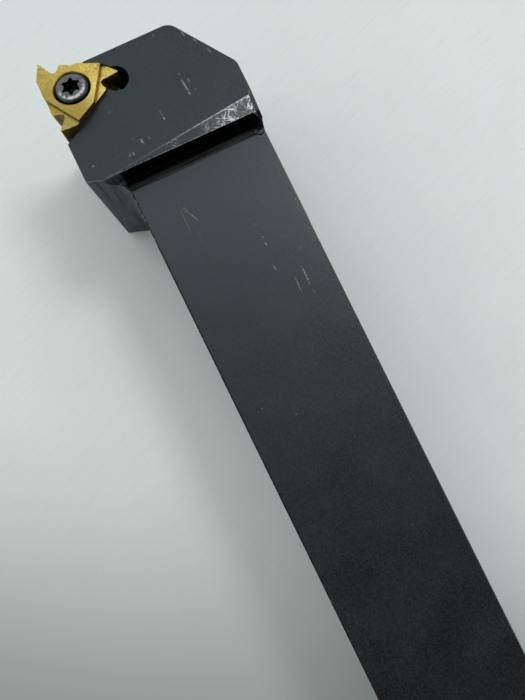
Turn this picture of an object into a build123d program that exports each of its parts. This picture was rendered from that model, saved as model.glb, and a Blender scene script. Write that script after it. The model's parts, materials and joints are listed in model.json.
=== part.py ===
from build123d import *
import os
from math import atan2, cos, radians, sin, sqrt, tan

os.makedirs("parts", exist_ok=True)

# ---------------------------------------------------------------- frame
# Millimetres. +X runs along the shank to the head, +Y is the insert side, +Z is up.
# The origin is on the shank's bottom face, on its centreline, half-way along the tool.

# ---------------------------------------------------------------- shank
TOOL_LENGTH = 150.0
TIP_LEAD = 3.38
SHANK_WIDTH = 25.0
SHANK_HEIGHT = 25.0
SHANK_EDGE = 0.2

# ---------------------------------------------------------------- head
HEAD_RISE = 3.75
HEAD_FALL = 0.5
HEAD_LENGTH = 19.37
HEAD_BULGE = 5.6
BULGE_LEAD = 0.85
BULGE_SLANT = 19.0
BULGE_FILLET = 2.0
STEP_FILLET = 3.2
STEP_RUN = 2.2
NOSE_CUT_LENGTH = 10.57
NOSE_CUT_WIDTH = 7.25
NOSE_FRONT_ROUND = 2.4
NOSE_SIDE_ROUND = 2.0
REAR_BEVEL_WIDTH = 2.8
REAR_BEVEL_DROP = 0.5
SIDE_BEVEL_LENGTH = 3.9
SIDE_BEVEL_WIDTH = 1.2
SIDE_BEVEL_DROP = 0.5
STEP_HORN_LENGTH = 1.85
STEP_HORN_TOP_LENGTH = 0.9
STEP_HORN_WIDTH = 1.3

# ---------------------------------------------------------------- insert seat
SEAT_PITCH = 11.2
SEAT_SETBACK = 3.535
INSERT_OVERHANG = 0.23
INSERT_PROUD = 0.46
RELIEF_ASIDE = 1.18
RELIEF_FROM_CORNER = 2.43
RELIEF_RADIUS = 2.12
LAND_CLEARANCE = 0.1
RELIEF_BELOW_SEAT = 2.0

# ---------------------------------------------------------------- threading insert
INSCRIBED_RADIUS = 9.525 / 2
INSERT_THICKNESS = 3.5
SIDE_RELIEF = 7.0
CORNER_TURNS = (0, -120, -240)
TOOTH_FROM_SIDE = 1.35
TOOTH_SET_BACK = 1.049
TOOTH_ANGLE = 55.0
TOOTH_DEPTH = 2.5
TOOTH_TIP_RADIUS = 0.12
CREST_SET_IN = 0.05
CREST_SET_BACK = 5.149
CREST_ROUND = 0.5
FORMER_LENGTH = 3.1
FORMER_DEPTH = 0.5
FORMER_TIP_DEPTH = 0.08

# ---------------------------------------------------------------- anvil
ANVIL_THICKNESS = 3.2
ANVIL_SET_IN = 0.6
ANVIL_CORNER_CUT = 2.425
ANVIL_BORE_CLEARANCE = 0.5
ANVIL_SCREW_FROM_CORNER = 4.625

# ---------------------------------------------------------------- screws
SCREW_DIAMETER = 3.5
SCREW_HEAD_DIAMETER = 5.4
SCREW_HEAD_LIP = 0.15
SCREW_DOME = 0.3
SCREW_LENGTH = 12.0
SINK_DIAMETER = 6.4
INSERT_BORE_CLEARANCE = 0.5
SINK_DEPTH = 1.6
SOCKET_RADIUS = 1.66
SOCKET_WAIST = 1.17
SOCKET_FLUTE = 0.62
SOCKET_DEPTH = 1.7
SOCKET_TURN = -16.0
ANVIL_SCREW_DIAMETER = 2.5
ANVIL_SCREW_HEAD = 3.6
ANVIL_SCREW_LENGTH = 7.0
ANVIL_SOCKET_RADIUS = 0.87
THREAD_CLEARANCE = 0.1
TAP_EXTRA_DEPTH = 1.5

# ---------------------------------------------------------------- derived places
TAIL_X = -TOOL_LENGTH / 2
FRONT_X = TOOL_LENGTH / 2 - TIP_LEAD
HEAD_TOP = SHANK_HEIGHT + HEAD_RISE
HALF_WIDTH = SHANK_WIDTH / 2
LEFT_SIDE = HALF_WIDTH + HEAD_BULGE
STEP_X = FRONT_X - HEAD_LENGTH
SEAT_DEPTH = INSERT_THICKNESS + ANVIL_THICKNESS
CORNER_REACH = 2 * INSCRIBED_RADIUS
SIDE_HALF = INSCRIBED_RADIUS * tan(radians(60))
TOOTH_REACH = SIDE_HALF - TOOTH_SET_BACK
CREST_REACH = SIDE_HALF - CREST_SET_BACK
FORMER_START = TOOTH_REACH - FORMER_LENGTH
ANVIL_SCREW_REACH = CORNER_REACH - ANVIL_SCREW_FROM_CORNER
SCREW_RADIUS = SCREW_DIAMETER / 2
SINK_SLOPE = (SINK_DIAMETER - SCREW_DIAMETER - INSERT_BORE_CLEARANCE) / 2 / SINK_DEPTH


def head_top_at(x):
    """Height of the head's top face, which falls a little from the step to the front."""
    return HEAD_TOP - HEAD_FALL * (x - STEP_X) / HEAD_LENGTH


def seat_plane():
    """Top plane of the insert: pitched down toward the front, centred on its bore."""
    pitch = radians(SEAT_PITCH)
    centre_x = FRONT_X - SEAT_SETBACK
    centre_y = LEFT_SIDE + INSERT_OVERHANG - INSCRIBED_RADIUS
    return Plane(
        origin=(centre_x, centre_y, head_top_at(centre_x) + INSERT_PROUD),
        x_dir=(cos(pitch), 0, -sin(pitch)),
        z_dir=(sin(pitch), 0, cos(pitch)),
    )


def on_seat(shape):
    """Carry a shape drawn in the insert's own frame to its place on the seat."""
    return seat_plane().location * shape


def turned(point, degrees):
    """Turn a 2-D point about the insert's centre."""
    angle = radians(degrees)
    return (
        point[0] * cos(angle) - point[1] * sin(angle),
        point[0] * sin(angle) + point[1] * cos(angle),
    )


def revolved(points, height=0.0):
    """Solid of revolution about Z from a closed radius-height outline."""
    with BuildPart() as part:
        with BuildSketch(Plane.XZ):
            with BuildLine():
                Polyline(*points, close=True)
            make_face()
        revolve(axis=Axis.Z)
    return Pos(0, 0, height) * part.part


def shank():
    with BuildPart() as part:
        with Locations((TAIL_X, 0, 0)):
            Box(STEP_X - TAIL_X, SHANK_WIDTH, SHANK_HEIGHT, align=(Align.MIN, Align.CENTER, Align.MIN))
        tail = part.faces().sort_by(Axis.X)[0]
        chamfer(part.edges().filter_by(Axis.X) + tail.edges(), SHANK_EDGE)
    return part.part


def head_block():
    """Plan of the head: square front, cut nose corner, slanted rear of the bulge."""
    back = STEP_X - HEAD_LENGTH
    right = -HALF_WIDTH
    nose = (FRONT_X, right + NOSE_CUT_WIDTH)
    cheek = (FRONT_X - NOSE_CUT_LENGTH, right)
    outer = (STEP_X + BULGE_LEAD, LEFT_SIDE)
    inner = (outer[0] - HEAD_BULGE * tan(radians(BULGE_SLANT)), HALF_WIDTH)
    with BuildPart() as part:
        with BuildSketch():
            with BuildLine():
                Polyline(outer, (FRONT_X, LEFT_SIDE), nose, cheek, (back, right))
                Polyline((back, right), (back, HALF_WIDTH), inner, outer)
            make_face()
        extrude(amount=HEAD_TOP)
        upright = part.edges().filter_by(Axis.Z)
        fillet(upright.sort_by_distance((inner[0], inner[1], HEAD_TOP / 2))[0], BULGE_FILLET)
        upright = part.edges().filter_by(Axis.Z)
        fillet(upright.sort_by_distance((nose[0], nose[1], HEAD_TOP / 2))[0], NOSE_FRONT_ROUND)
        upright = part.edges().filter_by(Axis.Z)
        fillet(upright.sort_by_distance((cheek[0], cheek[1], HEAD_TOP / 2))[0], NOSE_SIDE_ROUND)
    return part.part


def step_cut():
    """Everything above the shank top behind the head, with the hollow at the step's foot."""
    foot = STEP_X - STEP_RUN
    far = STEP_X - 3 * HEAD_LENGTH
    high = HEAD_TOP + 5
    axis_x = STEP_X - STEP_FILLET
    axis_z = SHANK_HEIGHT + sqrt(STEP_FILLET**2 - (foot - axis_x) ** 2)
    middle = atan2(SHANK_HEIGHT - axis_z, foot - axis_x) / 2
    mid = (axis_x + STEP_FILLET * cos(middle), axis_z + STEP_FILLET * sin(middle))
    with BuildPart() as part:
        with BuildSketch(Plane.XZ):
            with BuildLine():
                Polyline((STEP_X, axis_z), (STEP_X, high), (far, high))
                Polyline((far, high), (far, SHANK_HEIGHT), (foot, SHANK_HEIGHT))
                ThreePointArc((foot, SHANK_HEIGHT), mid, (STEP_X, axis_z))
            make_face()
        extrude(amount=2 * SHANK_WIDTH, both=True)
    return part.part


def step_horn():
    """Metal the step cutter left at the step's right end, a low horn running back along the side."""
    tail = STEP_X - STEP_HORN_LENGTH
    side = -HALF_WIDTH
    inner = side + STEP_HORN_WIDTH
    front = STEP_X + 1
    with BuildPart() as part:
        with BuildSketch(Plane.XZ.offset(HALF_WIDTH)):
            with BuildLine():
                Polyline(
                    (front, SHANK_HEIGHT - 1),
                    (tail, SHANK_HEIGHT - 1),
                    (tail, SHANK_HEIGHT + 0.2),
                    (STEP_X - STEP_HORN_TOP_LENGTH - 0.15, SHANK_HEIGHT + 0.4 * HEAD_RISE),
                    (STEP_X - STEP_HORN_TOP_LENGTH, HEAD_TOP),
                    (front, HEAD_TOP),
                    close=True,
                )
            make_face()
        extrude(amount=-STEP_HORN_WIDTH)
        with BuildSketch():
            with BuildLine():
                Polyline((tail - 0.3, side), (STEP_X, inner), (front, inner), (front, side), close=True)
            make_face()
        extrude(amount=2 * HEAD_TOP, mode=Mode.INTERSECT)
    return part.part


def sloped_cut(start, end, low):
    """A slab over the head whose underside is the plane through three points."""
    first = Vector(*start)
    along = Vector(*end) - first
    normal = along.cross(Vector(*low) - first)
    if normal.Z < 0:
        normal = -normal
    plane = Plane(origin=first, x_dir=along, z_dir=normal)
    slab = Box(80, 80, 6, align=(Align.CENTER, Align.CENTER, Align.MIN))
    behind = STEP_HORN_LENGTH + 0.5
    over_head = Box(HEAD_LENGTH + behind, 80, 80, align=(Align.MIN, Align.CENTER, Align.CENTER))
    return (plane.location * slab) & (Pos(STEP_X - behind, 0, HEAD_TOP) * over_head)


def top_fall():
    """Slab over the head's gently falling top face."""
    start = (STEP_X, -HALF_WIDTH, HEAD_TOP)
    end = (STEP_X, HALF_WIDTH, HEAD_TOP)
    return sloped_cut(start, end, (FRONT_X, 0, head_top_at(FRONT_X)))


def rear_bevel():
    """Hand-ground wedge along the step's top edge, widening to the right side."""
    start = (STEP_X, LEFT_SIDE - 3, HEAD_TOP)
    inner = STEP_X + REAR_BEVEL_WIDTH
    end = (inner, -HALF_WIDTH, head_top_at(inner))
    low = (STEP_X, -HALF_WIDTH, HEAD_TOP - REAR_BEVEL_DROP)
    return sloped_cut(start, end, low)


def side_bevel():
    """Facet on the head's right top edge, widening to the rear."""
    first = STEP_X + SIDE_BEVEL_LENGTH
    start = (first, -HALF_WIDTH, head_top_at(first))
    shoulder = HEAD_TOP - REAR_BEVEL_DROP
    end = (STEP_X, -HALF_WIDTH + SIDE_BEVEL_WIDTH, shoulder)
    low = (STEP_X, -HALF_WIDTH, shoulder - SIDE_BEVEL_DROP)
    return sloped_cut(start, end, low)


def pocket():
    """V pocket on the pitched seat: its walls lean with the insert's sides, then go down square."""
    over = pocket_slice(0, 2 * HEAD_RISE)
    beside = pocket_slice(0, -INSERT_THICKNESS)
    under = pocket_slice(-INSERT_THICKNESS, -SEAT_DEPTH, leaning=False)
    depth = SEAT_DEPTH + RELIEF_BELOW_SEAT + 2 * HEAD_RISE
    middle = 2 * HEAD_RISE - depth / 2
    relief = Pos(-RELIEF_ASIDE, RELIEF_FROM_CORNER - CORNER_REACH, middle) * Cylinder(RELIEF_RADIUS, depth)
    seat = over + beside + under - Pos(0, 0, middle) * corner_land(depth)
    return on_seat(seat + relief)


def corner_land(depth):
    """Metal kept in the V's corner: it follows the hidden tooth's flank into the relief hole."""
    foot = Vector(*turned(corner_outline()[0], CORNER_TURNS[1]))
    tip = Vector(*turned(corner_outline()[1], CORNER_TURNS[1]))
    along = (tip - foot).normalized()
    out = Vector(-along.Y, along.X)
    start = foot + out * LAND_CLEARANCE - along
    end = foot + out * LAND_CLEARANCE + along * 4
    with BuildPart() as part:
        with BuildSketch():
            with BuildLine():
                Polyline(start, end, end + out * 3, start + out * 3, close=True)
            make_face()
        extrude(amount=depth / 2, both=True)
    return part.part


def pocket_slice(start, stop, leaning=True):
    """The V between two levels; leaning walls open upward by the insert's side relief."""
    lean = tan(radians(SIDE_RELIEF))
    first = INSCRIBED_RADIUS + lean * start
    last = INSCRIBED_RADIUS + lean * (stop if leaning else start)
    with BuildPart() as part:
        for level, half in ((start, first), (stop, last)):
            open_side = 3 * INSCRIBED_RADIUS
            reach = (open_side + 2 * half) / tan(radians(60))
            with BuildSketch(Plane.XY.offset(level)):
                with BuildLine():
                    Polyline((0, -2 * half), (reach, open_side), (-reach, open_side), close=True)
                make_face()
        loft(ruled=True)
    return part.part


def tapped_bores():
    main_depth = SCREW_LENGTH + TAP_EXTRA_DEPTH
    main = Pos(0, 0, -main_depth / 2) * Cylinder(SCREW_RADIUS + THREAD_CLEARANCE, main_depth)
    side_depth = ANVIL_SCREW_LENGTH + TAP_EXTRA_DEPTH
    at = turned((ANVIL_SCREW_REACH, 0), 150)
    radius = ANVIL_SCREW_DIAMETER / 2 + THREAD_CLEARANCE
    side = Pos(at[0], at[1], -INSERT_THICKNESS - side_depth / 2) * Cylinder(radius, side_depth)
    return on_seat(main + side)


def holder_body():
    body = shank() + (head_block() - step_cut()) + step_horn()
    body = body - top_fall()
    body = body - rear_bevel()
    body = body - side_bevel()
    body = body - pocket()
    return body - tapped_bores()


def corner_outline():
    """One corner of the insert: tooth, chip notch and the lowered crest beside it."""
    half = radians(TOOTH_ANGLE / 2)
    tip = (TOOTH_REACH, INSCRIBED_RADIUS - TOOTH_FROM_SIDE)
    foot = (tip[0] - TOOTH_FROM_SIDE / tan(half), INSCRIBED_RADIUS)
    root = (tip[0] - TOOTH_DEPTH, tip[1] - TOOTH_DEPTH * tan(half))
    gullet = (root[0] - 0.35, root[1] - 0.5)
    crest_start = turned((INSCRIBED_RADIUS - CREST_SET_IN, CREST_REACH), -30)
    gullet_end = (crest_start[0] - 0.8, crest_start[1] + 0.6)
    crest_end = turned((INSCRIBED_RADIUS - CREST_SET_IN, 0.85), -30)
    side_start = turned((INSCRIBED_RADIUS, -0.85), -30)
    return [foot, tip, root, gullet, gullet_end, crest_start, crest_end, side_start]


def insert_blank():
    outline = []
    for turn in CORNER_TURNS:
        outline += [turned(point, turn) for point in corner_outline()]
    tips = [turned(corner_outline()[1], turn) for turn in CORNER_TURNS]
    roots = [turned(corner_outline()[3], turn) for turn in CORNER_TURNS]
    crests = [turned(corner_outline()[5], turn) for turn in CORNER_TURNS]
    with BuildPart() as part:
        with BuildSketch(Plane.XY.offset(-INSERT_THICKNESS)) as sketch:
            with BuildLine():
                Polyline(*outline, close=True)
            make_face()
            for point in tips:
                fillet(sketch.vertices().sort_by_distance((point[0], point[1], 0))[0], TOOTH_TIP_RADIUS)
            for point in roots:
                fillet(sketch.vertices().sort_by_distance((point[0], point[1], 0))[0], 0.25)
            for point in crests:
                fillet(sketch.vertices().sort_by_distance((point[0], point[1], 0))[0], CREST_ROUND)
        extrude(amount=INSERT_THICKNESS)
    return part.part


def side_relief():
    """What leans the insert's side in below its top edge."""
    place = (Align.CENTER, Align.MIN, Align.MAX)
    slab = Box(6 * INSCRIBED_RADIUS, INSCRIBED_RADIUS, 2 * INSERT_THICKNESS, align=place)
    return Pos(0, INSCRIBED_RADIUS, 0) * Rot(-SIDE_RELIEF, 0, 0) * slab


def chip_former():
    """Dished set-down across one corner, steep at the plateau and rising to the tooth."""
    far = CORNER_REACH
    middle = (FORMER_START + 0.45 * (TOOTH_REACH - FORMER_START), -0.8 * FORMER_DEPTH)
    with BuildPart() as part:
        with BuildSketch(Plane.XZ):
            with BuildLine():
                ThreePointArc((FORMER_START, -FORMER_DEPTH), middle, (TOOTH_REACH, -FORMER_TIP_DEPTH))
                Polyline((TOOTH_REACH, -FORMER_TIP_DEPTH), (far, 0.6), (FORMER_START - 0.2, 0.6))
                Line((FORMER_START - 0.2, 0.6), (FORMER_START, -FORMER_DEPTH))
            make_face()
        extrude(amount=CORNER_REACH, both=True)
    return part.part


def insert_bore():
    bore = SCREW_RADIUS + INSERT_BORE_CLEARANCE / 2
    sink = SINK_DIAMETER / 2
    over = 1.0
    points = [
        (0, -INSERT_THICKNESS - over),
        (bore, -INSERT_THICKNESS - over),
        (bore, -SINK_DEPTH),
        (sink, 0),
        (sink, over),
        (0, over),
    ]
    return revolved(points)


def threading_insert():
    body = insert_blank()
    for turn in CORNER_TURNS:
        body = body - Rot(0, 0, turn) * chip_former()
        body = body - Rot(0, 0, turn) * side_relief()
    return on_seat(body - insert_bore())


def anvil():
    side = INSCRIBED_RADIUS - ANVIL_SET_IN
    with BuildPart() as part:
        with BuildSketch(Plane.XY.offset(-SEAT_DEPTH)):
            RegularPolygon(radius=2 * side, side_count=3, rotation=30)
            Circle(CORNER_REACH - ANVIL_CORNER_CUT, mode=Mode.INTERSECT)
            Circle(SCREW_RADIUS + ANVIL_BORE_CLEARANCE, mode=Mode.SUBTRACT)
        extrude(amount=ANVIL_THICKNESS)
    at = turned((ANVIL_SCREW_REACH, 0), 150)
    return on_seat(part.part - Pos(at[0], at[1], -INSERT_THICKNESS) * anvil_screw_sink())


def anvil_screw_sink():
    bore = ANVIL_SCREW_DIAMETER / 2 + THREAD_CLEARANCE
    head = ANVIL_SCREW_HEAD / 2
    points = [(0, -5), (bore, -5), (bore, bore - head - 0.3), (head, -0.3), (head, 1), (0, 1)]
    return revolved(points)


def socket(radius, waist, flute, depth, top):
    """Six-lobed drive recess."""
    centre = waist + flute
    with BuildPart() as part:
        with BuildSketch(Plane.XY.offset(top - depth)):
            Circle(radius)
            with PolarLocations(centre, 6, start_angle=30):
                Circle(flute, mode=Mode.SUBTRACT)
        extrude(amount=depth + 2)
    return part.part


def anvil_screw():
    head = ANVIL_SCREW_HEAD / 2
    radius = ANVIL_SCREW_DIAMETER / 2
    bore = radius + THREAD_CLEARANCE
    low = ANVIL_SCREW_LENGTH
    points = [
        (0, -low),
        (radius - 0.3, -low),
        (radius, -low + 0.3),
        (radius, bore - head - 0.3),
        (bore, bore - head - 0.3),
        (head, -0.3),
        (head - 0.1, -0.1),
        (0, -0.1),
    ]
    waist = 0.7 * ANVIL_SOCKET_RADIUS
    drive = socket(ANVIL_SOCKET_RADIUS, waist, 0.4 * ANVIL_SOCKET_RADIUS, 0.9, -0.1)
    at = turned((ANVIL_SCREW_REACH, 0), 150)
    return on_seat(Pos(at[0], at[1], -INSERT_THICKNESS) * (revolved(points) - drive))


def insert_screw():
    head = SCREW_HEAD_DIAMETER / 2
    sink = SINK_DIAMETER / 2
    bore = SCREW_RADIUS + INSERT_BORE_CLEARANCE / 2
    cone_top = -(sink - head) / SINK_SLOPE
    neck = -SINK_DEPTH
    tip = SCREW_HEAD_LIP - SCREW_LENGTH
    with BuildPart() as part:
        with BuildSketch(Plane.XZ):
            with BuildLine():
                Polyline(
                    (0, tip),
                    (SCREW_RADIUS - 0.4, tip),
                    (SCREW_RADIUS, tip + 0.4),
                    (SCREW_RADIUS, neck),
                    (bore, neck),
                    (head, cone_top),
                    (head, SCREW_HEAD_LIP - 0.2),
                    (head - 0.2, SCREW_HEAD_LIP),
                )
                ThreePointArc(
                    (head - 0.2, SCREW_HEAD_LIP),
                    (0.55 * head, SCREW_HEAD_LIP + 0.75 * SCREW_DOME),
                    (0, SCREW_HEAD_LIP + SCREW_DOME),
                )
                Line((0, SCREW_HEAD_LIP + SCREW_DOME), (0, tip))
            make_face()
        revolve(axis=Axis.Z)
    drive = socket(SOCKET_RADIUS, SOCKET_WAIST, SOCKET_FLUTE, SOCKET_DEPTH, SCREW_HEAD_LIP)
    return on_seat(part.part - Rot(0, 0, SOCKET_TURN) * drive)


export_step(holder_body(), "parts/holder_body.step")
export_step(anvil(), "parts/anvil.step")
export_step(anvil_screw(), "parts/anvil_screw.step")
export_step(threading_insert(), "parts/threading_insert.step")
export_step(insert_screw(), "parts/insert_screw.step")
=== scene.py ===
import json
import math

import bmesh
import bpy
from mathutils import Euler, Matrix, Vector, noise

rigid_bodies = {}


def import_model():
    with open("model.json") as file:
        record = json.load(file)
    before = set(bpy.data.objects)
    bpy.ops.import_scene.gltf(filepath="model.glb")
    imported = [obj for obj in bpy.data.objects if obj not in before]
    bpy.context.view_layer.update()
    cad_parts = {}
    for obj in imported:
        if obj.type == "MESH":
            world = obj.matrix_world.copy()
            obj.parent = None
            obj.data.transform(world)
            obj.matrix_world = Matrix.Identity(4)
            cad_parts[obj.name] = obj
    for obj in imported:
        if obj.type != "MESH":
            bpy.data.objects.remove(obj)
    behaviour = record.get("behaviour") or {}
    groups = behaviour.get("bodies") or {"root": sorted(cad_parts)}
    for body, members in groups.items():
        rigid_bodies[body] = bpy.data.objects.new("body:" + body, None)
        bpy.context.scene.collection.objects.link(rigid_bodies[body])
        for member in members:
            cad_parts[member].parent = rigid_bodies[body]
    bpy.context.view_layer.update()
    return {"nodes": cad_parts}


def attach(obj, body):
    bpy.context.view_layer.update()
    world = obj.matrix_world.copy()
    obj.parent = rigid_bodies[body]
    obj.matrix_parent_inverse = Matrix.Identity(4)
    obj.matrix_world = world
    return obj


for old in list(bpy.data.objects):
    bpy.data.objects.remove(old, do_unlink=True)
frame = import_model()

# Sizes and places of the CAD model, in mm; MM turns them into Blender's metres.
MM = 0.001
STEP_X = 52.25
SHANK_TOP = 25.0
HEAD_TOP = 28.75
HEAD_FALL = 0.5 / 19.37
INSERT_TOP = (68.085, 13.5675, 28.80)
SEAT_PITCH = math.radians(11.2)

# Each of the insert's corners has a set-down line, this far out from the middle of its top.
SET_DOWN_REACH = 4.12
SET_DOWN_ANGLES = (0, -120, -240)

# The ground wedge's upper border is the line x + WEDGE_SLOPE * y = WEDGE_START.
WEDGE_START = 53.782
WEDGE_SLOPE = 0.10145

BURR_PLACE = (50.15, -11.52, 25.12)
BURR_TURN = math.radians(-12)
BURR_HOLLOW = (50.15, -11.6, 25.3)
BURR_HOLLOW_SIZE = (1.0, 1.15, 0.9)
BURR_RADII = (0.42, 0.80, 0.34)

BARE_METAL = (0.50, 0.50, 0.49)
SHADE_BLACK = (0.0006, 0.0006, 0.0006)


# ---------------------------------------------------------------- camera
# The pinhole camera fitted to the photo: its place in metres, and its axes as a turn's columns.
CAMERA_PLACE = (0.014406, 0.008354, 0.108388)
CAMERA_TURN = (
    (-0.440066, 0.897532, -0.027898),
    (-0.897439, -0.438532, 0.047879),
    (0.030739, 0.046107, 0.998463),
)
FOCAL_LENGTH = 25.779


def make_camera():
    data = bpy.data.cameras.new("camera")
    data.sensor_fit = "AUTO"
    data.sensor_width = 36
    data.lens = FOCAL_LENGTH
    data.clip_start = 0.002
    data.clip_end = 20
    cam = bpy.data.objects.new("camera", data)
    bpy.context.scene.collection.objects.link(cam)
    cam.matrix_world = Matrix.Translation(CAMERA_PLACE) @ Matrix(CAMERA_TURN).to_4x4()
    bpy.context.scene.camera = cam


# ---------------------------------------------------------------- node helpers
def new_material(name):
    mat = bpy.data.materials.new(name)
    mat.use_nodes = True
    tree = mat.node_tree
    tree.nodes.clear()
    out = tree.nodes.new("ShaderNodeOutputMaterial")
    return mat, tree, out


def add(tree, kind, ins=None, **props):
    """Adds one shader node; sockets in ins are linked, plain values are set."""
    node = tree.nodes.new("ShaderNode" + kind)
    for key, value in props.items():
        setattr(node, key, value)
    for key, value in (ins or {}).items():
        socket = node.inputs[key]
        if isinstance(value, bpy.types.NodeSocket):
            tree.links.new(value, socket)
        else:
            socket.default_value = value
    return node


def calc(tree, how, a, b=0.0, clamp=False):
    return add(tree, "Math", {0: a, 1: b}, operation=how, use_clamp=clamp).outputs[0]


def smooth(tree, value, low, high, to_low=0.0, to_high=1.0):
    """A soft ramp from to_low at low to to_high at high; low may be the larger."""
    if low > high:
        low, high, to_low, to_high = high, low, to_high, to_low
    node = add(tree, "MapRange", {"Value": value}, interpolation_type="SMOOTHSTEP")
    node.inputs["From Min"].default_value = low
    node.inputs["From Max"].default_value = high
    node.inputs["To Min"].default_value = to_low
    node.inputs["To Max"].default_value = to_high
    return node.outputs["Result"]


def ramp_mm(tree, value, low, high, to_low=0.0, to_high=1.0):
    return smooth(tree, value, low * MM, high * MM, to_low, to_high)


def blend(tree, factor, a, b):
    """Colour a where factor is 0 and colour b where it is 1."""
    node = add(tree, "Mix", data_type="RGBA")
    for index, value in ((0, factor), (6, a), (7, b)):
        if isinstance(value, bpy.types.NodeSocket):
            tree.links.new(value, node.inputs[index])
        elif index:
            node.inputs[index].default_value = (*value, 1.0)
        else:
            node.inputs[index].default_value = value
    return node.outputs[2]


def grain(tree, coords, size, detail=2.0, rough=0.5, stretch=(1, 1, 1), turn=(0, 0, 0)):
    """Noise with features about size mm across, longer along an axis whose stretch is over 1."""
    place = add(tree, "Mapping", {"Vector": coords}, vector_type="TEXTURE")
    place.inputs["Rotation"].default_value = turn
    place.inputs["Scale"].default_value = [size * MM * s for s in stretch]
    return add(tree, "TexNoise", {
        "Vector": place.outputs[0], "Scale": 1.0, "Detail": detail, "Roughness": rough,
    }).outputs["Fac"]


def dot(tree, a, b):
    return add(tree, "VectorMath", {0: a, 1: b}, operation="DOT_PRODUCT").outputs["Value"]


def edges(tree, radius):
    """The rounded normal, and its turn from the surface's own: 0 on flats, more at edges."""
    bevel = add(tree, "Bevel", {"Radius": radius * MM}, samples=6)
    own = add(tree, "NewGeometry").outputs["Normal"]
    turned = calc(tree, "SUBTRACT", 1.0, dot(tree, bevel.outputs[0], own), clamp=True)
    return bevel.outputs[0], turned


def most(tree, *masks):
    top = masks[0]
    for mask in masks[1:]:
        top = calc(tree, "MAXIMUM", top, mask)
    return top


def product(tree, *masks):
    out = masks[0]
    for mask in masks[1:]:
        out = calc(tree, "MULTIPLY", out, mask)
    return out


def total(tree, *parts):
    out = parts[0]
    for part in parts[1:]:
        out = calc(tree, "ADD", out, part)
    return out


def inverse(tree, mask):
    return calc(tree, "SUBTRACT", 1.0, mask)


def ball(tree, coords, middle, radii, turn=(0, 0, 0)):
    """1 at a middle given in metres, falling evenly to 0 at the radii given in mm."""
    place = add(tree, "Mapping", {"Vector": coords}, vector_type="TEXTURE")
    place.inputs["Location"].default_value = middle
    place.inputs["Rotation"].default_value = turn
    place.inputs["Scale"].default_value = [r * MM for r in radii]
    shape = add(tree, "TexGradient", {"Vector": place.outputs[0]}, gradient_type="SPHERICAL")
    return shape.outputs["Fac"]


def surface(tree, out, tone, dull, metal, relief, **constants):
    """The shader; relief is a height, the normal it starts from, a strength and a depth in mm."""
    height, normal, strength, depth = relief
    bump = add(tree, "Bump", {
        "Height": height, "Normal": normal, "Strength": strength, "Distance": depth * MM,
    })
    shader = add(tree, "BsdfPrincipled", {
        "Base Color": tone, "Roughness": dull, "Metallic": metal, "Normal": bump.outputs[0],
        **constants,
    })
    tree.links.new(shader.outputs[0], out.inputs[0])


def stroke(tree, coords, start, end, height, width, strength):
    """A long thin mark on a level face, from start to end in mm: strongest along its middle."""
    a, b = Vector((*start, height)), Vector((*end, height))
    run = b - a
    radii = (run.length / 2, width / 2, 0.5)
    shape = ball(tree, coords, (a + b) / 2 * MM, radii, (0, 0, math.atan2(run.y, run.x)))
    return smooth(tree, shape, 0.08, 0.6, 0.0, strength)


# ---------------------------------------------------------------- blackened steel
# Scratches and knocks on the head's top, then on the shank's: start, end, width, strength. The
# places are read from the photo and turned into mm, and the head's are 0.07 to 0.45 mm longer
# than read. Widths and strengths are listed.
HEAD_MARKS = [
    ((62.6, -2.96), (59.2, -3.25), 0.42, 0.75),
    ((59.8, -3.20), (59.0, -3.24), 0.50, 0.8),
    ((62.1, -3.92), (60.8, -4.13), 0.45, 0.40),
    ((63.3, -3.09), (62.6, -3.09), 0.40, 0.30),
    ((59.95, -4.34), (59.3, -4.44), 0.40, 0.30),
    ((57.7, 2.36), (56.9, 2.32), 0.42, 0.70),
    ((59.2, 2.43), (57.6, 2.33), 0.36, 0.25),
    ((56.1, 7.20), (54.6, 7.05), 0.52, 0.75),
    ((55.8, 5.98), (55.0, 5.75), 0.36, 0.30),
    ((56.8, 8.43), (56.1, 8.28), 0.36, 0.26),
    ((54.7, 9.79), (53.8, 9.78), 0.36, 0.45),
    ((54.6, 9.32), (53.6, 9.20), 0.36, 0.45),
    ((54.3, 10.08), (53.8, 9.92), 0.40, 0.40),
    ((62.3, 9.88), (61.9, 9.83), 0.36, 0.35),
    ((69.6, -6.50), (68.3, -6.72), 0.46, 0.45),
    ((67.6, -7.70), (66.7, -8.02), 0.42, 0.55),
    ((65.3, -9.08), (63.9, -9.42), 0.46, 0.30),
    ((71.1, -1.97), (70.6, -2.20), 0.60, 0.30),
    ((55.3, 16.05), (54.8, 15.80), 0.60, 0.50),
    ((52.7, 9.71), (52.1, 9.59), 0.40, 0.35),
]
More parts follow.
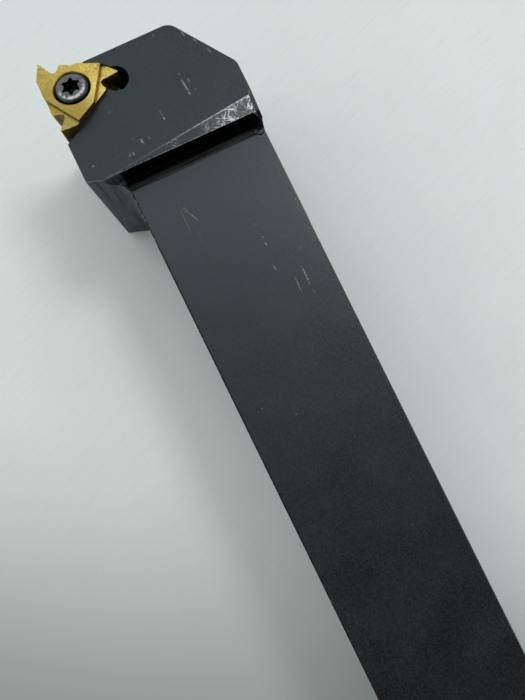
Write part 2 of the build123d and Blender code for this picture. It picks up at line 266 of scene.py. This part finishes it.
SHANK_MARKS = [
    ((44.86, 6.38), (38.88, 6.48), 0.22, 0.30),
    ((43.29, 5.46), (40.44, 4.24), 0.25, 0.45),
    ((44.35, 5.70), (42.77, 5.16), 0.20, 0.25),
    ((36.48, -3.96), (36.10, -4.03), 0.40, 0.50),
    ((33.98, -4.04), (33.60, -4.12), 0.40, 0.50),
    ((45.78, 6.31), (44.49, 6.00), 0.20, 0.20),
    ((40.35, 5.22), (36.71, 5.49), 0.20, 0.15),
    ((44.78, 6.51), (40.59, 4.04), 0.24, 0.30),
    ((33.13, -4.00), (31.99, -4.06), 0.40, 0.56),
    ((29.34, -3.38), (27.45, -3.71), 0.34, 0.40),
    ((27.20, -7.81), (22.55, -7.71), 0.32, 0.64),
    ((22.55, -7.71), (21.04, -7.90), 0.24, 0.18),
    ((26.35, -5.98), (22.03, -5.87), 0.28, 0.40),
    ((37.46, -12.09), (37.15, -11.94), 0.40, 0.72),
    ((37.24, -11.98), (34.78, -11.56), 0.22, 0.16),
    ((29.69, -9.19), (29.11, -8.76), 0.26, 0.24),
    ((28.93, -10.70), (28.64, -10.75), 0.30, 0.24),
    ((32.62, -6.95), (32.34, -7.00), 0.30, 0.24),
    ((8.16, 8.76), (7.88, 8.72), 0.40, 0.48),
    ((4.85, 4.02), (4.57, 3.98), 0.40, 0.40),
    ((11.41, -0.84), (11.16, -0.90), 0.30, 0.16),
    ((-19.99, -5.26), (-20.27, -5.31), 0.36, 0.32),
    ((-34.49, 11.91), (-34.76, 11.86), 0.36, 0.32),
]


def black_steel():
    mat, tree, out = new_material("black_oxide_steel")
    coords = add(tree, "TexCoord").outputs["Object"]
    x, y, z = add(tree, "SeparateXYZ", {0: coords}).outputs
    normal = add(tree, "NewGeometry").outputs["Normal"]
    nx, _, nz = add(tree, "SeparateXYZ", {0: normal}).outputs
    rounded, turned = edges(tree, 0.20)

    cloudy = grain(tree, coords, 9.0, detail=4, rough=0.55)
    blotch = grain(tree, coords, 2.2, detail=4, rough=0.6)
    fine = grain(tree, coords, 0.30, detail=3, rough=0.6)
    drawn = grain(tree, coords, 0.30, detail=2, stretch=(26, 1, 1))
    upright = grain(tree, coords, 0.35, detail=3, stretch=(1, 1, 40))
    across = grain(tree, coords, 0.16, detail=3, stretch=(1, 60, 1))
    broken = grain(tree, coords, 0.55, detail=4, rough=0.7)
    specks = smooth(tree, grain(tree, coords, 0.16, detail=1), 0.69, 0.76)

    # The step: its wall, the cove at its foot and the ground wedge along its top edge.
    rearward = smooth(tree, nx, -0.25, -0.6)
    # Painted shade: this mask colours the step's wall near black and makes it metal, so it reflects
    # nothing.
    painted_shade_wall = product(tree, smooth(tree, nx, -0.08, -0.25), ramp_mm(tree, x, 50.75, 51.25),
                   ramp_mm(tree, x, 52.6, 52.3), ramp_mm(tree, y, 13.4, 12.2),
                   ramp_mm(tree, z, 24.9, 25.1))
    cove = product(tree, ramp_mm(tree, x, 49.95, 50.10), ramp_mm(tree, x, 51.7, 51.1),
                   ramp_mm(tree, z, 24.8, 25.0), ramp_mm(tree, y, 12.9, 12.4))
    wedge = calc(tree, "SUBTRACT", WEDGE_START * MM, total(tree, x, product(tree, y, WEDGE_SLOPE)))
    high = ramp_mm(tree, z, 27.6, 27.9)
    faces_up = smooth(tree, nz, 0.75, 0.9)
    on_wedge = product(tree, ramp_mm(tree, wedge, -0.02, 0.05), high, faces_up)
    right = ramp_mm(tree, y, -1.0, -6.5)
    far_right = ramp_mm(tree, y, -11.9, -11.6)
    from_border = calc(tree, "ABSOLUTE", wedge)
    wedge_top = product(tree, ramp_mm(tree, from_border, 0.15, 0.03), high, faces_up,
                        smooth(tree, broken, 0.30, 0.55), ramp_mm(tree, y, 8.0, -9.0, 0.14, 1.0),
                        far_right)
    from_step = calc(tree, "SUBTRACT", x, STEP_X * MM)
    wedge_low = product(tree, ramp_mm(tree, from_step, 0.17, 0.04), high, faces_up,
                        smooth(tree, broken, 0.34, 0.56), ramp_mm(tree, y, 13.0, -8.0, 0.45, 1.0),
                        far_right)

    # Worn edges, paler also as a painted highlight: patchy all round, and heavier where the tool
    # was knocked.
    edge = smooth(tree, turned, 0.02, 0.16)
    painted_highlight_mottled = smooth(tree, broken, 0.44, 0.62)
    left_top = product(tree, ramp_mm(tree, y, 11.9, 12.2), ramp_mm(tree, x, 38.5, 41.0),
                       ramp_mm(tree, x, 50.2, 49.6), ramp_mm(tree, z, 24.4, 24.7))
    left_rear = product(tree, ramp_mm(tree, y, 9.0, 13.0), ramp_mm(tree, x, 54.0, 53.2),
                        ramp_mm(tree, z, 28.0, 28.3))
    edge_wear_and_highlight = product(tree, edge, most(
        tree,
        product(tree, painted_highlight_mottled, 0.22),
        product(tree, left_top, smooth(tree, grain(tree, coords, 0.4, detail=1), 0.50, 0.60)),
        product(tree, left_rear, smooth(tree, broken, 0.25, 0.5), 0.75),
    ))

    # Scratches: the marks listed above, a web of fine ones on the wedge and its bright borders.
    head_marks = []
    for a, b, wide, strength in HEAD_MARKS:
        height = HEAD_TOP - HEAD_FALL * ((a[0] + b[0]) / 2 - STEP_X)
        head_marks.append(stroke(tree, coords, a, b, height, wide, strength))
    shank_marks = [
        stroke(tree, coords, a, b, SHANK_TOP, wide, strength)
        for a, b, wide, strength in SHANK_MARKS
    ]
    marks = product(tree, most(tree, *head_marks, *shank_marks),
                    smooth(tree, grain(tree, coords, 0.15), 0.36, 0.60), 0.85)
    layers = []
    fibre_kinds = ((0.24, 8, 1.15, 0.56), (0.24, 8, -0.75, 0.58), (0.28, 7, 0.2, 0.60))
    for size, longer, turn, low in fibre_kinds:
        fibres = grain(tree, coords, size, detail=1, stretch=(longer, 1, 1), turn=(0, 0, turn))
        layers.append(smooth(tree, fibres, low, low + 0.10))
    web = product(tree, most(tree, *layers), on_wedge, right, far_right,
                  smooth(tree, blotch, 0.36, 0.55))
    scored = grain(tree, coords, 0.14, stretch=(7, 1, 1), turn=(0, 0, 1.3))
    box_mark = product(tree, on_wedge, ramp_mm(tree, y, 4.4, 3.9), ramp_mm(tree, y, 1.8, 2.3),
                       smooth(tree, scored, 0.56, 0.66))
    scratched = most(tree, marks, web, product(tree, box_mark, 0.7),
                     product(tree, wedge_top, 0.85), product(tree, wedge_low, 0.85))
    flecks = product(tree, specks, smooth(tree, blotch, 0.50, 0.62), 0.12)

    # The burr: a hollow inside a bright torn rim, with painted shade in the hollow, and the horn
    # beside it, painted near black as painted shade.
    burr = ball(tree, coords, Vector(BURR_HOLLOW) * MM, BURR_HOLLOW_SIZE)
    torn = product(tree, smooth(tree, burr, 0.16, 0.28), smooth(tree, burr, 0.52, 0.38),
                   smooth(tree, broken, 0.40, 0.55))
    painted_shade_hollow = smooth(tree, burr, 0.42, 0.56)
    painted_shade_horn = product(tree, ramp_mm(tree, x, 50.2, 50.6), ramp_mm(tree, x, 52.35, 52.1),
                   ramp_mm(tree, y, -10.8, -11.3), ramp_mm(tree, z, 25.0, 25.3))
    shaded = most(tree, painted_shade_wall, product(tree, painted_shade_hollow, 0.8), product(tree, painted_shade_horn, 0.8))
    bare = product(tree, most(tree, edge_wear_and_highlight, scratched, flecks, product(tree, torn, 0.5)),
                   inverse(tree, product(tree, painted_shade_horn, 0.9)))

    # Colour, from the oxide up to bare metal. These are set to the photo's brightness, so light and
    # shade are painted into them:
    # a painted sheen makes the shank paler near the step, and painted shade makes the wall, the
    # burr's hollow and the horn near black.
    painted_sheen_near_step = product(tree, ramp_mm(tree, x, 24.0, 47.0), ramp_mm(tree, x, 51.0, 50.2), 0.85)
    milled = product(tree, rearward, smooth(tree, upright, 0.45, 0.62), 0.75)
    ground_bright = product(tree, on_wedge, right, far_right,
                            smooth(tree, blotch, 0.25, 0.65, 0.35, 1.0))
    brown = product(tree, cove, smooth(tree, across, 0.35, 0.62))
    tone = blend(tree, smooth(tree, cloudy, 0.3, 0.7),
                 (0.0024, 0.0026, 0.0028), (0.0050, 0.0054, 0.0058))
    tone = blend(tree, smooth(tree, fine, 0.38, 0.66, 0.0, 0.6), tone, (0.0135, 0.0142, 0.0150))
    tone = blend(tree, painted_sheen_near_step, tone, (0.0215, 0.0235, 0.0255))
    tone = blend(tree, smooth(tree, drawn, 0.5, 0.8, 0.0, 0.35), tone, (0.0035, 0.0038, 0.0042))
    tone = blend(tree, milled, tone, (0.0012, 0.0012, 0.0012))
    tone = blend(tree, ground_bright, tone, (0.085, 0.085, 0.088))
    tone = blend(tree, product(tree, on_wedge, 0.35), tone, (0.020, 0.021, 0.022))
    tone = blend(tree, brown, tone, (0.018, 0.0165, 0.0155))
    # Painted shade: the wall, the burr's hollow and the horn go near black.
    tone = blend(tree, product(tree, shaded, 0.92), tone, SHADE_BLACK)
    tone = blend(tree, bare, tone, BARE_METAL)

    dull = smooth(tree, fine, 0.30, 0.70, 0.27, 0.43)
    dull = total(tree, dull, smooth(tree, cloudy, 0.3, 0.7, -0.03, 0.04))
    dull = calc(tree, "SUBTRACT", dull, product(tree, painted_shade_wall, 0.14))

    # A metal reflects only in its own colour, so the dark ones here stay dark: metal keeps the
    # painted shade on the wall, the burr's hollow, the horn and the left top rounding.
    bulge = product(tree, rearward, ramp_mm(tree, y, 12.45, 12.6))
    # Painted shade: a dark line along the left top rounding of the shank.
    painted_shade_rounding = product(tree, ramp_mm(tree, y, 12.15, 12.35), ramp_mm(tree, x, 50.2, 49.6),
                       ramp_mm(tree, z, 24.5, 24.7), inverse(tree, bare))
    metal = most(tree, product(tree, bare, 0.85), shaded, painted_shade_rounding,
                 product(tree, cove, smooth(tree, across, 0.4, 0.6), 0.9),
                 product(tree, bulge, smooth(tree, upright, 0.42, 0.66, 0.22, 0.80)))
    height = total(tree, product(tree, fine, 0.6), product(tree, drawn, 0.4),
                   product(tree, cove, across, 0.8), product(tree, rearward, upright, 0.8))
    height = calc(tree, "SUBTRACT", height, product(tree, most(tree, marks, web), 0.8))
    surface(tree, out, tone, dull, metal, (height, rounded, 0.22, 0.03),
            **{"Specular IOR Level": 0.66, "Specular Tint": (0.80, 0.92, 1.0, 1.0)})
    return mat


# ---------------------------------------------------------------- coated insert
def seat_frame(tree, coords):
    """Coordinates in the insert's own frame, in metres from the middle of its top."""
    local = add(tree, "Mapping", {"Vector": coords}, vector_type="TEXTURE")
    local.inputs["Location"].default_value = [v * MM for v in INSERT_TOP]
    local.inputs["Rotation"].default_value = (0, SEAT_PITCH, 0)
    u, v, w = add(tree, "SeparateXYZ", {0: local.outputs[0]}).outputs
    flat = add(tree, "CombineXYZ", {0: u, 1: v}).outputs[0]
    radius = add(tree, "VectorMath", {0: flat}, operation="LENGTH").outputs["Value"]
    return local.outputs[0], u, v, w, radius


def gold_coat():
    mat, tree, out = new_material("titanium_nitride")
    coords = add(tree, "TexCoord").outputs["Object"]
    local, u, v, w, radius = seat_frame(tree, coords)
    normal = add(tree, "NewGeometry").outputs["Normal"]
    up = (math.sin(SEAT_PITCH), 0, math.cos(SEAT_PITCH))
    level = dot(tree, normal, up)
    rounded, turned = edges(tree, 0.07)

    cloudy = grain(tree, coords, 1.8, detail=3)
    fine = grain(tree, coords, 0.24, detail=3, rough=0.65)
    blotch = grain(tree, coords, 0.55, detail=4, rough=0.65)
    pits = smooth(tree, grain(tree, coords, 0.20, detail=2), 0.30, 0.42, 1.0, 0.0)
    # Painted highlight: a pale patch around this spot on the insert's top.
    highlight_spot = Vector((-1.9, -3.2, 0)) * MM
    spot = add(tree, "VectorMath", {0: local, 1: highlight_spot}, operation="DISTANCE")
    painted_highlight_fade = ramp_mm(tree, spot.outputs["Value"], 3.4, 0.8)
    chips = grain(tree, local, 0.22, detail=1, stretch=(5, 1, 1), turn=(0, 0, 0.9))
    ground = grain(tree, local, 0.10, detail=2, stretch=(1, 18, 1), turn=(0, 0, 0.5))

    # Painted shade: a dark line along each set-down. After the loop, reach is the one for the rear
    # left corner, whose chip former is streaked.
    faces_up = smooth(tree, level, 0.5, 0.7)
    lines = []
    for degrees in SET_DOWN_ANGLES:
        angle = math.radians(degrees)
        reach = total(tree, product(tree, u, math.cos(angle)), product(tree, v, math.sin(angle)))
        off = calc(tree, "ABSOLUTE", calc(tree, "SUBTRACT", reach, SET_DOWN_REACH * MM))
        lines.append(ramp_mm(tree, off, 0.20, 0.07))
    painted_shade_set_down = product(tree, most(tree, *lines), faces_up)
    former = product(tree, ramp_mm(tree, reach, 4.2, 4.5), ramp_mm(tree, u, -2.4, -3.4), faces_up)
    # Painted shade: the flanks and the screw's countersink are darkened.
    painted_shade_flanks = smooth(tree, level, 0.55, 0.25)
    painted_shade_sink = product(tree, ramp_mm(tree, radius, 3.12, 3.0), ramp_mm(tree, w, -0.02, -0.12))

    pale_specks = smooth(tree, grain(tree, coords, 0.34, detail=3), 0.56, 0.70, 0.0, 0.6)
    painted_highlight = product(tree, painted_highlight_fade, smooth(tree, blotch, 0.35, 0.55), 0.8)
    streaked = product(tree, former, smooth(tree, chips, 0.50, 0.62))
    # Edge wear with a painted highlight: the edges go paler.
    edge_wear_and_highlight = product(tree, smooth(tree, turned, 0.03, 0.25), 0.25)
    toward_rear_left = total(tree, v, product(tree, u, -0.6))
    tone = blend(tree, smooth(tree, cloudy, 0.3, 0.7), (0.56, 0.40, 0.075), (0.78, 0.565, 0.125))
    tone = blend(tree, smooth(tree, fine, 0.3, 0.75, 0.0, 0.6), tone, (0.84, 0.63, 0.19))
    tone = blend(tree, smooth(tree, blotch, 0.46, 0.62, 0.0, 0.65), tone, (0.42, 0.25, 0.035))
    tone = blend(tree, pale_specks, tone, (0.95, 0.76, 0.33))
    tone = blend(tree, painted_highlight, tone, (1.0, 0.79, 0.24))
    tone = blend(tree, product(tree, pits, 0.6), tone, (0.30, 0.19, 0.035))
    tone = blend(tree, streaked, tone, (0.95, 0.80, 0.42))
    tone = blend(tree, smooth(tree, ground, 0.55, 0.8, 0.0, 0.35), tone, (0.42, 0.32, 0.09))
    # Painted shade: the insert darkens toward the rear left.
    tone = blend(tree, ramp_mm(tree, toward_rear_left, -5.0, 5.0, 0.0, 0.72), tone,
                 (0.30, 0.225, 0.052))
    tone = blend(tree, edge_wear_and_highlight, tone, (0.80, 0.68, 0.36))
    tone = blend(tree, product(tree, painted_shade_set_down, 0.75), tone, (0.22, 0.17, 0.045))
    tone = blend(tree, product(tree, painted_shade_flanks, 0.8), tone, (0.15, 0.105, 0.03))
    tone = blend(tree, product(tree, painted_shade_sink, 0.9), tone, (0.07, 0.055, 0.025))

    dull = smooth(tree, fine, 0.25, 0.75, 0.30, 0.50)
    height = total(tree, product(tree, fine, 0.8), product(tree, ground, 0.5))
    surface(tree, out, tone, dull, 1.0, (height, rounded, 0.40, 0.03))
    return mat


# ---------------------------------------------------------------- screws and anvil
def screw_steel(name, pale, dark):
    mat, tree, out = new_material(name)
    coords = add(tree, "TexCoord").outputs["Object"]
    _, u, v, w, radius = seat_frame(tree, coords)
    turning = {"W": radius, "Scale": 9.0 / MM, "Detail": 2.0}
    rings = add(tree, "TexNoise", turning, noise_dimensions="1D").outputs["Fac"]
    rounded, turned = edges(tree, 0.08)
    cloudy = grain(tree, coords, 0.9, detail=4, rough=0.6)
    fine = grain(tree, coords, 0.2, detail=3, rough=0.6)

    # Painted shade: the rim and the socket are darkened.
    painted_shade_rim = ramp_mm(tree, radius, 2.30, 2.52)
    shoulder = product(tree, ramp_mm(tree, radius, 1.75, 2.0), ramp_mm(tree, radius, 2.36, 2.2))
    socket = product(tree, ramp_mm(tree, w, 0.35, 0.15), ramp_mm(tree, radius, 1.7, 1.5))
    # Painted highlights: one side of the shoulder and a patch in the socket go paler, and the patch
    # is not metal, so it catches light.
    painted_highlight_patch = product(tree, socket, ramp_mm(tree, u, 0.1, -0.5), ramp_mm(tree, v, 0.9, 0.3))
    painted_sheen_shoulder = product(tree, shoulder, smooth(tree, cloudy, 0.35, 0.6), ramp_mm(tree, u, 0.6, -0.6))
    tone = blend(tree, smooth(tree, cloudy, 0.3, 0.7), dark, pale)
    tone = blend(tree, smooth(tree, rings, 0.4, 0.7, 0.0, 0.4), tone, (0.30, 0.31, 0.32))
    tone = blend(tree, painted_sheen_shoulder, tone, (0.62, 0.64, 0.65))
    tone = blend(tree, product(tree, painted_shade_rim, 0.9), tone, (0.036, 0.040, 0.042))
    tone = blend(tree, product(tree, socket, 0.75), tone, (0.05, 0.045, 0.045))
    # Edge wear with a painted highlight: the edges go paler.
    edge_wear_and_highlight = product(tree, smooth(tree, turned, 0.03, 0.25), 0.4)
    painted_highlight_mottled = product(tree, painted_highlight_patch, smooth(tree, cloudy, 0.3, 0.6))
    tone = blend(tree, painted_highlight_mottled, tone, (0.62, 0.60, 0.58))
    tone = blend(tree, edge_wear_and_highlight, tone, (0.62, 0.62, 0.61))
    dull = smooth(tree, fine, 0.25, 0.75, 0.24, 0.40)
    height = total(tree, rings, product(tree, fine, 0.5))
    metal = inverse(tree, product(tree, painted_highlight_patch, 0.9))
    surface(tree, out, tone, dull, metal, (height, rounded, 0.25, 0.02))
    return mat


def ground_carbide():
    mat, tree, out = new_material("ground_carbide")
    coords = add(tree, "TexCoord").outputs["Object"]
    rounded, _ = edges(tree, 0.08)
    lines = grain(tree, coords, 0.12, detail=2, stretch=(20, 1, 1), turn=(0, SEAT_PITCH, 0.5))
    cloudy = grain(tree, coords, 1.6, detail=3)
    tone = blend(tree, smooth(tree, cloudy, 0.3, 0.7), (0.15, 0.15, 0.155), (0.22, 0.22, 0.225))
    tone = blend(tree, smooth(tree, lines, 0.4, 0.7, 0.0, 0.5), tone, (0.30, 0.30, 0.31))
    dull = smooth(tree, lines, 0.3, 0.7, 0.28, 0.42)
    surface(tree, out, tone, dull, 1.0, (lines, rounded, 0.3, 0.01))
    return mat


# ---------------------------------------------------------------- burr left at the foot of the step
def make_burr(mat):
    """A curled lump of metal pushed up at the right end of the step's cove."""
    bm = bmesh.new()
    bmesh.ops.create_icosphere(bm, subdivisions=5, radius=1.0)
    for vert in bm.verts:
        p = vert.co.copy()
        lumps = 0.28 * noise.noise(p * 1.6 + Vector((3.1, 0.4, 7.7)))
        bulge = 1.0 + lumps + 0.12 * noise.noise(p * 4.3)
        q = Vector([v * r for v, r in zip(p, BURR_RADII)]) * bulge
        q.z += 0.22 * (0.35 - q.y * q.y) + 0.05 * math.sin(5.0 * q.y)
        vert.co = q * MM
    mesh = bpy.data.meshes.new("burr")
    bm.to_mesh(mesh)
    bm.free()
    mesh.shade_smooth()
    piece = bpy.data.objects.new("burr", mesh)
    bpy.context.scene.collection.objects.link(piece)
    piece.rotation_euler = Euler((0, 0, BURR_TURN))
    piece.location = [v * MM for v in BURR_PLACE]
    mesh.materials.append(mat)
    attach(piece, "root")


# ---------------------------------------------------------------- floor, world and lamp
def make_floor():
    half = 3.0
    corners = [(-half, -half, 0), (half, -half, 0), (half, half, 0), (-half, half, 0)]
    mesh = bpy.data.meshes.new("floor")
    mesh.from_pydata(corners, [], [(0, 1, 2, 3)])
    floor = bpy.data.objects.new("floor", mesh)
    bpy.context.scene.collection.objects.link(floor)
    floor.location.z = -0.02 * MM
    mat, tree, out = new_material("pale_board")
    coords = add(tree, "TexCoord").outputs["Object"]
    x, y, _ = add(tree, "SeparateXYZ", {0: coords}).outputs
    # Painted shadow: the floor darkens toward the tail on the insert's side; the patch ends beyond
    # it.
    away = calc(tree, "SUBTRACT", product(tree, y, 0.75), x)
    far = add(tree, "VectorMath", {0: coords}, operation="LENGTH").outputs["Value"]
    painted_floor_shadow = product(tree, ramp_mm(tree, away, 5.0, 105.0), ramp_mm(tree, far, 230.0, 110.0))
    along = (0, 0, math.radians(-70))
    streaks = grain(tree, coords, 0.6, detail=4, rough=0.6, stretch=(14, 1, 1), turn=along)
    cloudy = grain(tree, coords, 25.0, detail=3)
    tone = blend(tree, smooth(tree, cloudy, 0.3, 0.7), (0.775, 0.805, 0.80), (0.80, 0.83, 0.825))
    tone = blend(tree, smooth(tree, streaks, 0.45, 0.75, 0.0, 0.5), tone, (0.72, 0.75, 0.74))
    tone = blend(tree, painted_floor_shadow, tone, (0.31, 0.325, 0.31))
    matt = {"Base Color": tone, "Roughness": 0.6, "Specular IOR Level": 0.2}
    shader = add(tree, "BsdfPrincipled", matt)
    tree.links.new(shader.outputs[0], out.inputs[0])
    mesh.materials.append(mat)


def make_world():
    """Soft light, dimmer to -Y, over the tail and over the head, and brighter overhead."""
    world = bpy.data.worlds.new("studio")
    bpy.context.scene.world = world
    world.use_nodes = True
    tree = world.node_tree
    tree.nodes.clear()
    out = tree.nodes.new("ShaderNodeOutputWorld")
    way = add(tree, "TexCoord").outputs["Generated"]
    _, y, z = add(tree, "SeparateXYZ", {0: way}).outputs
    tail, head, ceiling = (
        dot(tree, way, Vector(aim).normalized())
        for aim in ((-0.78, 0.10, 0.62), (0.64, -0.10, 0.76), (0.30, -0.12, 0.94))
    )
    dim = total(tree, smooth(tree, tail, 0.36, 0.62, 0.0, 0.42),
                smooth(tree, tail, 0.62, 1.0, 0.0, 0.56))
    dim = product(tree, dim, smooth(tree, z, 0.2, 0.5))
    dim = total(tree, dim, smooth(tree, head, 0.90, 0.985, 0.0, 0.22))
    tone = blend(tree, smooth(tree, y, -0.9, 0.9), (0.69, 0.74, 0.74), (1.16, 1.23, 1.21))
    tone = blend(tree, smooth(tree, ceiling, 0.90, 0.99, 0.0, 0.8), tone, (1.12, 1.22, 1.24))
    tone = blend(tree, dim, tone, (0.04, 0.03, 0.02))
    back = add(tree, "Background", {"Color": tone, "Strength": 1.0})
    tree.links.new(back.outputs[0], out.inputs[0])


def make_lamp(name, place, aim, size, power):
    data = bpy.data.lights.new(name, "AREA")
    data.shape = "DISK"
    data.size = size
    data.energy = power
    lamp = bpy.data.objects.new(name, data)
    lamp.location = place
    lamp.rotation_euler = (Vector(aim) - Vector(place)).to_track_quat("-Z", "Y").to_euler()
    bpy.context.scene.collection.objects.link(lamp)


# ---------------------------------------------------------------- dressing
make_camera()
bpy.context.scene.view_settings.view_transform = "Standard"
make_world()
make_lamp("softbox", place=(0.20, -0.36, 0.58), aim=(0.02, 0, 0), size=0.21, power=1.15)
make_floor()

steel = black_steel()
dress = {
    "holder_body": steel,
    "threading_insert": gold_coat(),
    "insert_screw": screw_steel(
        "screw_steel_pale", pale=(0.125, 0.132, 0.134), dark=(0.062, 0.066, 0.068)),
    "anvil_screw": screw_steel(
        "screw_steel_dark", pale=(0.16, 0.16, 0.16), dark=(0.09, 0.09, 0.095)),
    "anvil": ground_carbide(),
}
for node, mat in dress.items():
    frame["nodes"][node].material_slots[0].material = mat
make_burr(steel)
